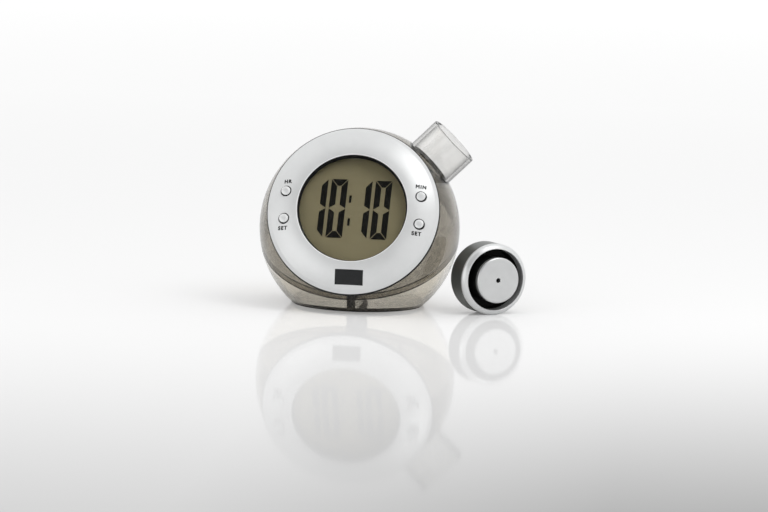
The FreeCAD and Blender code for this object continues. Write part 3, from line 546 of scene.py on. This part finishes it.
def slice_up(shape, step):
    """Cuts a flat shape along a square grid, so that it can follow the dome."""
    for axis in (0, 1):
        along = [vert.co[axis] for vert in shape.verts]
        first = math.ceil(min(along) / step)
        last = math.floor(max(along) / step)
        for index in range(first, last + 1):
            point = Vector((0, 0, 0))
            point[axis] = index * step
            across = Vector((0, 0, 0))
            across[axis] = 1
            bmesh.ops.bisect_plane(
                shape, geom=shape.verts[:] + shape.edges[:] + shape.faces[:],
                plane_co=point, plane_no=across)
    # A cut that runs along an edge leaves faces without area.
    bmesh.ops.remove_doubles(shape, verts=shape.verts[:], dist=step * SLIVER_SHARE)
    bmesh.ops.dissolve_degenerate(shape, edges=shape.edges[:], dist=step * SLIVER_SHARE)


def lay_on_dome(shape, x, y, sizes):
    """Moves a flat shape to x, y on the face, drops it on the bezel and gives it the ink's thickness."""
    place = face_frame(sizes.face_height)
    out = place.to_3x3() @ Vector((0, 0, 1))
    dome = BVHTree.FromPolygons(
        [vert.co for vert in NODES["bezel"].data.vertices],
        [face.vertices for face in NODES["bezel"].data.polygons])
    for vert in shape.verts:
        above = place @ Vector((vert.co.x + x, vert.co.y + y, DROP_HEIGHT))
        hit = dome.ray_cast(above, -out)[0]
        if hit is None:
            raise RuntimeError("a print misses the bezel")
        vert.co = hit + out * CLEARANCE
    bmesh.ops.recalc_face_normals(shape, faces=shape.faces[:])
    if sum((face.normal * face.calc_area() for face in shape.faces), Vector()).dot(out) < 0:
        bmesh.ops.reverse_faces(shape, faces=shape.faces[:])
    raised = bmesh.ops.extrude_face_region(shape, geom=shape.faces[:])
    top = [item for item in raised["geom"] if isinstance(item, bmesh.types.BMVert)]
    bmesh.ops.translate(shape, verts=top, vec=out * sizes.ink_thickness)
    bmesh.ops.recalc_face_normals(shape, faces=shape.faces[:])


def add_print(name, shape, material):
    """Makes a print of a finished shape and fixes it to the clock."""
    mesh = bpy.data.meshes.new(name)
    shape.to_mesh(mesh)
    shape.free()
    mesh.materials.append(material)
    piece = bpy.data.objects.new(name, mesh)
    bpy.context.scene.collection.objects.link(piece)
    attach(piece, "clock")


# Operators, one for each group of like pieces

class CLOCK_OT_tank(bpy.types.Operator):
    """Finish the smoked globe, its neck, foot and divider"""
    bl_idname = "clock.tank"
    bl_label = "Tank"

    def execute(self, context):
        colours = context.scene.clock_colours
        dress(smoked_shell_finish("smoked_SAN_upper_moulding", colours.smoke, blotch=0.84, shine=0.45),
              "tank_upper_shell")
        # The bowl's light tint is painted light.
        dress(smoked_shell_finish("smoked_SAN_bowl_painted_lighter", colours.bowl, blotch=0.93, shine=0.25),
              "tank_lower_shell")
        dress(clear_neck_finish(), "filler_neck")
        dress(foot_pad_finish(), "base_pad")
        dress(moulded_plastic_finish("black_ABS_divider", "#0d0d0c", "#090908", rough=0.6, shine=0.2),
              "cell_divider")
        return {"FINISHED"}


class CLOCK_OT_cells(bpy.types.Operator):
    """Finish the plates in the water and what holds them"""
    bl_idname = "clock.cells"
    bl_label = "Cells"

    def execute(self, context):
        dress(rolled_metal_finish("rolled_zinc_sheet", "#9a9d9f", "#777b7e"),
              "left_zinc_electrode", "right_zinc_electrode")
        dress(rolled_metal_finish("rolled_copper_sheet", "#b5744f", "#7e4b35"),
              "left_copper_electrode", "right_copper_electrode")
        dress(turned_metal_finish("nickel_plated_brass", "#bdb9ae", "#a09b8f"),
              "terminal_screws", "terminal_nuts")
        dress(rolled_metal_finish("phosphor_bronze_strip", "#b98d5b", "#9a7145"), "contact_springs")
        return {"FINISHED"}


class CLOCK_OT_module(bpy.types.Operator):
    """Finish the sealed housing and the circuit inside it"""
    bl_idname = "clock.module"
    bl_label = "Display module"

    def execute(self, context):
        dress(moulded_plastic_finish("grey_ABS_housing", "#8d877c", "#7f796f"), "module_housing")
        dress(rubber_finish("milky_silicone_gasket", "#bab7b0", "#a8a59e"), "module_gasket")
        dress(turned_metal_finish("zinc_plated_screw", "#b8babb", "#9b9d9e"),
              "housing_screws", "board_screws")
        dress(board_finish(), "circuit_board")
        dress(moulded_plastic_finish("epoxy_chip_body", "#232323", "#191919", rough=0.6),
              "controller_chip")
        dress(turned_metal_finish("drawn_tin_can", "#c3c4c4", "#aaabab"), "quartz_crystal")
        dress(turned_metal_finish("sleeved_aluminium_can", "#3b4552", "#2e3742"),
              "storage_capacitor")
        dress(rubber_finish("silicone_keypad", "#8b8c8a", "#7b7c7a"), "left_keypad", "right_keypad")
        return {"FINISHED"}


class CLOCK_OT_display(bpy.types.Operator):
    """Finish the display, its holder, the recess and the lens"""
    bl_idname = "clock.display"
    bl_label = "Display"

    def execute(self, context):
        colours = context.scene.clock_colours
        ground = display_ground_finish(colours.display)
        dress(ground, "lcd_reflector", "lcd_rear_glass")
        dress(segment_finish(), "lcd_segments")
        dress(clear_sheet_finish("float_glass", "#f4f6f2", smooth=0.02, rough=0.05),
              "lcd_front_glass")
        dress(clear_sheet_finish("cast_acrylic_lens", "#fbfbf9", smooth=0.015, rough=0.04),
              "display_lens")
        dress(moulded_plastic_finish("black_ABS_recess", "#0b0b0a", "#070706", rough=0.6, shine=0.2),
              "window_sleeve")
        dress(moulded_plastic_finish("black_ABS_holder"), "lcd_holder")
        dress(rubber_finish("epoxy_edge_seal", "#c9c4b6", "#b8b2a2"), "lcd_edge_seal")
        dress(rubber_finish("foam_pad", "#3a3a3a", "#2c2c2c"), "lcd_pad")
        dress(rubber_finish("layered_silicone_strip", "#d58f9a", "#c27d88"),
              "upper_contact_strip", "lower_contact_strip")
        return {"FINISHED"}


class CLOCK_OT_bezel(bpy.types.Operator):
    """Finish the bezel and the buttons"""
    bl_idname = "clock.bezel"
    bl_label = "Bezel and buttons"

    def execute(self, context):
        silver = context.scene.clock_colours.silver
        dress(silver_paint_finish("satin_silver_lacquer", silver, size_mm=14.0, painted_light_at_edges=True),
              "bezel")
        # A seal ring, coloured near black so that it also draws the shadow gap between the bezel and the
        # globe as painted shadow.
        dress(rubber_finish("EPDM_seal_dark_as_painted_shadow", "#232322", "#181818"), "bezel_seal")
        # The buttons get a lighter copy of the silver: painted light for their lit domes.
        lit_silver = toned(silver, 1.07)
        dress(silver_paint_finish("satin_silver_buttons", lit_silver, size_mm=3.0, painted_light_at_edges=True),
              "hour_button", "minute_button", "left_set_button", "right_set_button")
        return {"FINISHED"}


class CLOCK_OT_prints(bpy.types.Operator):
    """Print the words beside the buttons and the bare plate under the window"""
    bl_idname = "clock.prints"
    bl_label = "Prints"

    def execute(self, context):
        sizes = context.scene.clock_sizes
        ink = ink_finish("black_pad_print_ink", "#151617", "#0f1011")
        places = (
            ("print_hr", "HR", -0.0336, 0.0126),
            ("print_min", "MIN", 0.0338, 0.0127),
            ("print_set_left", "SET", -0.0345, -0.0118),
            ("print_set_right", "SET", 0.0331, -0.0118),
        )
        for name, word, x, y in places:
            shape = bold_word(word, sizes.letter_height)
            slice_up(shape, sizes.print_step)
            lay_on_dome(shape, x, y, sizes)
            add_print(name, shape, ink)
        plate = bmesh.new()
        bmesh.ops.create_grid(plate, x_segments=1, y_segments=1, size=0.5)
        bmesh.ops.scale(plate, verts=plate.verts[:],
                        vec=(sizes.plate_width, sizes.plate_height, 1))
        slice_up(plate, sizes.print_step)
        lay_on_dome(plate, *PLATE_PLACE, sizes)
        add_print("bare_plate", plate, ink_finish("dark_grey_plate_ink", "#2c2d2e", "#252627"))
        return {"FINISHED"}


class CLOCK_OT_cap(bpy.types.Operator):
    """Finish the filler cap"""
    bl_idname = "clock.cap"
    bl_label = "Cap"

    def execute(self, context):
        colours = context.scene.clock_colours
        dress(charcoal_finish(colours.charcoal), "cap_shell")
        dress(silver_paint_finish("satin_silver_rim", colours.silver, size_mm=6.0,
                                  metallic=0.5, smooth=0.32), "cap_rim")
        duller = toned(colours.silver, 0.94)
        dress(silver_paint_finish("satin_silver_disc", duller, size_mm=6.0,
                                  metallic=0.85, smooth=0.3, rough=0.38), "plug_disc")
        dress(moulded_plastic_finish("black_ABS_liner", "#121312", "#0b0c0b"),
              "cap_liner", "cap_plug")
        dress(rubber_finish("silicone_cap_seal", "#1c1c1b", "#131313"), "cap_seal")
        dress(moulded_plastic_finish("black_nylon_pin", "#080808", "#040404", rough=0.7, shine=0.2),
              "vent_pin")
        return {"FINISHED"}


class CLOCK_OT_studio(bpy.types.Operator):
    """Set up the floor, the pale surroundings, the lamps and the camera"""
    bl_idname = "clock.studio"
    bl_label = "Studio"

    def execute(self, context):
        studio = context.scene.clock_studio
        add_floor(studio.floor_radius)
        light_surroundings(context.scene)
        add_lamp("key_lamp", studio.key_watts, KEY_SIZE, KEY_PLACE)
        add_lamp("fill_lamp", studio.fill_watts, FILL_SIZE, FILL_PLACE)
        add_camera(context.scene, studio)
        context.scene.view_settings.view_transform = "Standard"
        return {"FINISHED"}


# The stage

def floor_finish():
    # Glossy white laminate: it keeps the shadow and a weak mirror image. Toward the front and the right it
    # turns grey: painted shade.
    material, tree, shader, place = new_finish("white_gloss_laminate", **{
        "Roughness": 0.05, "Specular IOR Level": 0.02})
    ahead = add_node(tree, "ShaderNodeVectorMath", {0: place, 1: FLOOR_WAY},
                     operation="DOT_PRODUCT")
    near = add_node(tree, "ShaderNodeMapRange", {
        "Value": ahead.outputs["Value"], "From Min": SHADE_START, "From Max": SHADE_FULL,
        "To Min": 0.0, "To Max": SHADE_DEPTH}, interpolation_type="SMOOTHSTEP")
    far = add_node(tree, "ShaderNodeMapRange", {
        "Value": ahead.outputs["Value"], "From Min": SHADE_FADE, "From Max": SHADE_END,
        "To Min": 1.0, "To Max": 0.0}, interpolation_type="SMOOTHSTEP")
    across = add_node(tree, "ShaderNodeSeparateXYZ", {"Vector": place}).outputs["X"]
    lean = add_node(tree, "ShaderNodeMapRange", {
        "Value": across, "From Min": 0.0, "From Max": LEAN_REACH,
        "To Min": LEAN_LEFT, "To Max": LEAN_RIGHT})
    patch = add_node(tree, "ShaderNodeMath", {0: near.outputs["Result"], 1: far.outputs["Result"]},
                     operation="MULTIPLY")
    fall = add_node(tree, "ShaderNodeMath", {0: patch.outputs["Value"], 1: lean.outputs["Result"]},
                    operation="MULTIPLY")
    shade = add_node(tree, "ShaderNodeMix", {
        "Factor": fall.outputs["Value"], 6: linear("#f5f5f5"), 7: linear("#303030")},
        data_type="RGBA")
    tree.links.new(shade.outputs[2], shader.inputs["Base Color"])
    path = add_node(tree, "ShaderNodeLightPath")
    glow = add_node(tree, "ShaderNodeEmission", {"Color": linear("#ffffff"), "Strength": FLOOR_GLOW})
    seen = add_node(tree, "ShaderNodeMixShader", {
        0: path.outputs["Is Camera Ray"], 2: glow.outputs["Emission"]})
    total = add_node(tree, "ShaderNodeAddShader", {
        0: shader.outputs["BSDF"], 1: seen.outputs["Shader"]})
    show(tree, total.outputs["Shader"])
    return material


def add_floor(radius):
    shape = bmesh.new()
    bmesh.ops.create_circle(shape, cap_ends=True, segments=64, radius=radius)
    mesh = bpy.data.meshes.new("floor")
    shape.to_mesh(mesh)
    shape.free()
    mesh.materials.append(floor_finish())
    floor = bpy.data.objects.new("floor", mesh)
    bpy.context.scene.collection.objects.link(floor)


def light_surroundings(scene):
    """A white backdrop for the camera, plain soft light from all round, and for what shines or is
    clear a white studio with a dark patch above the camera, which the display mirrors."""
    world = bpy.data.worlds.new("pale_studio")
    scene.world = world
    world.use_nodes = True
    tree = world.node_tree
    tree.nodes.clear()
    path = add_node(tree, "ShaderNodeLightPath")
    bent = add_node(tree, "ShaderNodeMath", {
        0: path.outputs["Is Glossy Ray"], 1: path.outputs["Is Transmission Ray"]},
        operation="MAXIMUM")
    direct = add_node(tree, "ShaderNodeMath", {0: path.outputs["Diffuse Depth"], 1: 0.5},
                      operation="LESS_THAN")
    mirrored = add_node(tree, "ShaderNodeMath", {
        0: bent.outputs["Value"], 1: direct.outputs["Value"]}, operation="MULTIPLY")
    toward = add_node(tree, "ShaderNodeTexCoord").outputs["Generated"]
    nearness = add_node(tree, "ShaderNodeVectorMath", {0: toward, 1: DARK_PATCH},
                        operation="DOT_PRODUCT")
    level = add_node(tree, "ShaderNodeMapRange", {
        "Value": nearness.outputs["Value"], "From Min": PATCH_OUTER,
        "From Max": PATCH_INNER, "To Min": 1.0, "To Max": PATCH_LEVEL}, interpolation_type="SMOOTHSTEP")
    soft = add_node(tree, "ShaderNodeBackground", {"Color": linear("#ffffff"), "Strength": SOFT_LEVEL})
    studio = add_node(tree, "ShaderNodeBackground", {
        "Color": linear("#fdfdfd"), "Strength": level.outputs["Result"]})
    shown = add_node(tree, "ShaderNodeBackground", {"Color": linear("#fefefe"), "Strength": 1.0})
    lit = add_node(tree, "ShaderNodeMixShader", {
        0: mirrored.outputs["Value"], 1: soft.outputs["Background"],
        2: studio.outputs["Background"]})
    mix = add_node(tree, "ShaderNodeMixShader", {
        0: path.outputs["Is Camera Ray"], 1: lit.outputs["Shader"], 2: shown.outputs["Background"]})
    add_node(tree, "ShaderNodeOutputWorld", {"Surface": mix.outputs["Shader"]})


def add_lamp(name, watts, size, place):
    data = bpy.data.lights.new(name, "AREA")
    data.energy = watts
    data.shape = "DISK"
    data.size = size
    lamp = bpy.data.objects.new(name, data)
    lamp.location = place
    aim = Vector(LAMP_TARGET) - Vector(place)
    lamp.rotation_euler = aim.to_track_quat("-Z", "Y").to_euler()
    bpy.context.scene.collection.objects.link(lamp)


def add_camera(scene, studio):
    data = bpy.data.cameras.new("camera")
    data.lens = studio.lens_mm
    data.sensor_width = SENSOR_MM
    data.clip_start = NEAR_CLIP
    data.clip_end = FAR_CLIP
    camera = bpy.data.objects.new("camera", data)
    turn = (Matrix.Rotation(studio.pan, 4, "Z")
            @ Matrix.Rotation(math.radians(90) - studio.tilt, 4, "X")
            @ Matrix.Rotation(studio.roll, 4, "Z"))
    camera.matrix_world = Matrix.Translation(studio.camera_place) @ turn
    scene.collection.objects.link(camera)
    scene.camera = camera


# Panel and registration

OPERATORS = (
    CLOCK_OT_tank, CLOCK_OT_cells, CLOCK_OT_module, CLOCK_OT_display,
    CLOCK_OT_bezel, CLOCK_OT_prints, CLOCK_OT_cap, CLOCK_OT_studio,
)
SETTINGS = (
    ("clock_sizes", ClockSizes), ("clock_colours", ClockColours), ("clock_studio", ClockStudio),
)


class CLOCK_PT_panel(bpy.types.Panel):
    """Lists the steps that dress the clock"""
    bl_idname = "CLOCK_PT_panel"
    bl_label = "Water-powered clock"
    bl_space_type = "VIEW_3D"
    bl_region_type = "UI"
    bl_category = "Clock"

    def draw(self, context):
        for operator in OPERATORS:
            self.layout.operator(operator.bl_idname)
        for name, group in SETTINGS:
            box = self.layout.box()
            for field in group.__annotations__:
                box.prop(getattr(context.scene, name), field)


def register():
    for name, group in SETTINGS:
        bpy.utils.register_class(group)
        setattr(bpy.types.Scene, name, PointerProperty(type=group))
    for item in OPERATORS + (CLOCK_PT_panel,):
        bpy.utils.register_class(item)


def unregister():
    for item in reversed(OPERATORS + (CLOCK_PT_panel,)):
        bpy.utils.unregister_class(item)
    for name, group in SETTINGS:
        delattr(bpy.types.Scene, name)
        bpy.utils.unregister_class(group)


def main():
    register()
    for operator in OPERATORS:
        group, step = operator.bl_idname.split(".")
        getattr(getattr(bpy.ops, group), step)()


if __name__ == "__main__":
    main()
